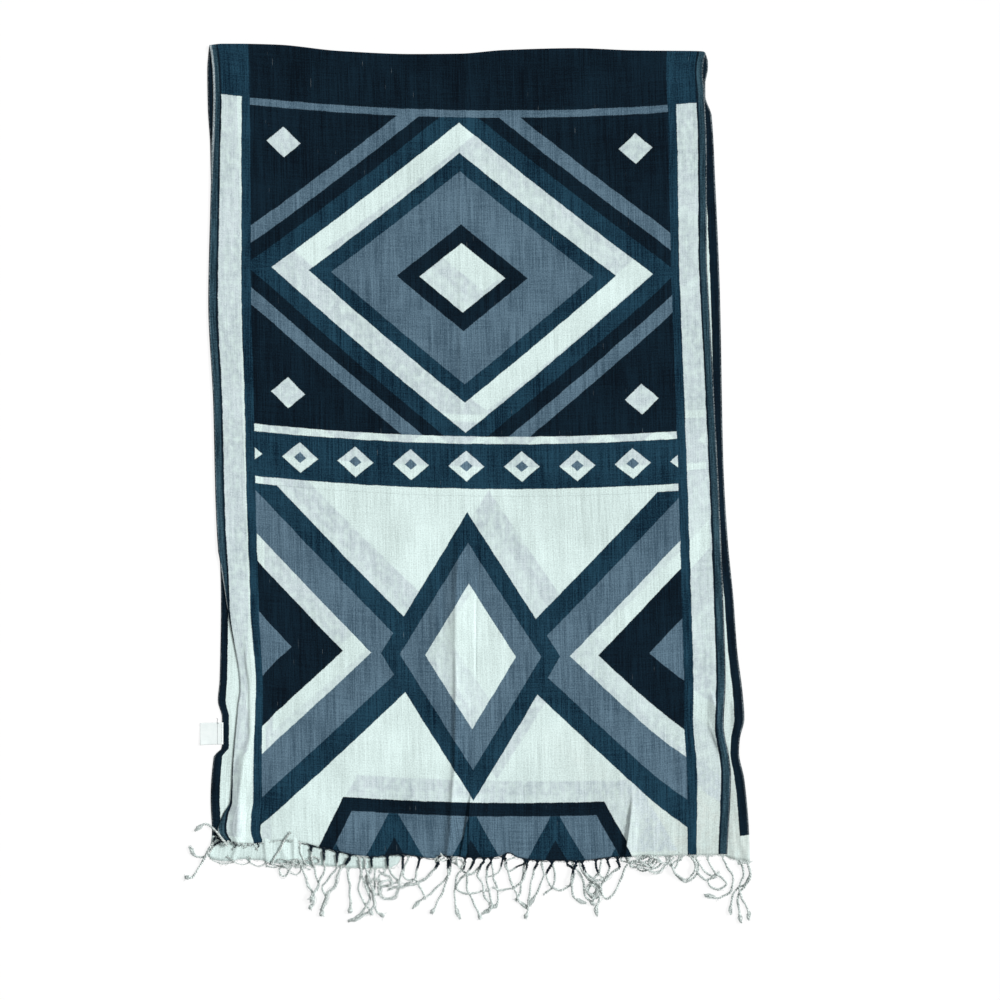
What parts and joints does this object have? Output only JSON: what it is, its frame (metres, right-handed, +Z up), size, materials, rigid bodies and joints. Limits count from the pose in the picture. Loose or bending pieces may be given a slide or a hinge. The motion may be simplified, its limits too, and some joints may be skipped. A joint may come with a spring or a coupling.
{
  "type": "scarf",
  "caption": "Long fringed shawl-scarf in thin printed cloth, folded once across its length and laid flat, with one edge turned under.",
  "frame": {"origin": "centre of the folded scarf's footprint, on the surface that it lies on", "axes": "+Y along the cloth towards the fold, +X across it to the right when the fold is at the far side, +Z up"},
  "size_m": [0.63, 0.981, 0.0059],
  "materials": {
    "cloth": "matte printed plain weave in near-black, petrol navy, heathered grey-blue and off-white",
    "tassel_yarn": "matte twisted yarn, off-white with dark stubs at the hem",
    "label_tape": "smooth woven tape, bare"
  },
  "bodies": {
    "root": {"lower_half": "cloth", "upper_half": "cloth", "fold_bend": "cloth", "turned_selvedge": "cloth", "lower_fringe": "tassel_yarn", "upper_fringe": "tassel_yarn", "care_label": "label_tape"}
  },
  "joints": []
}
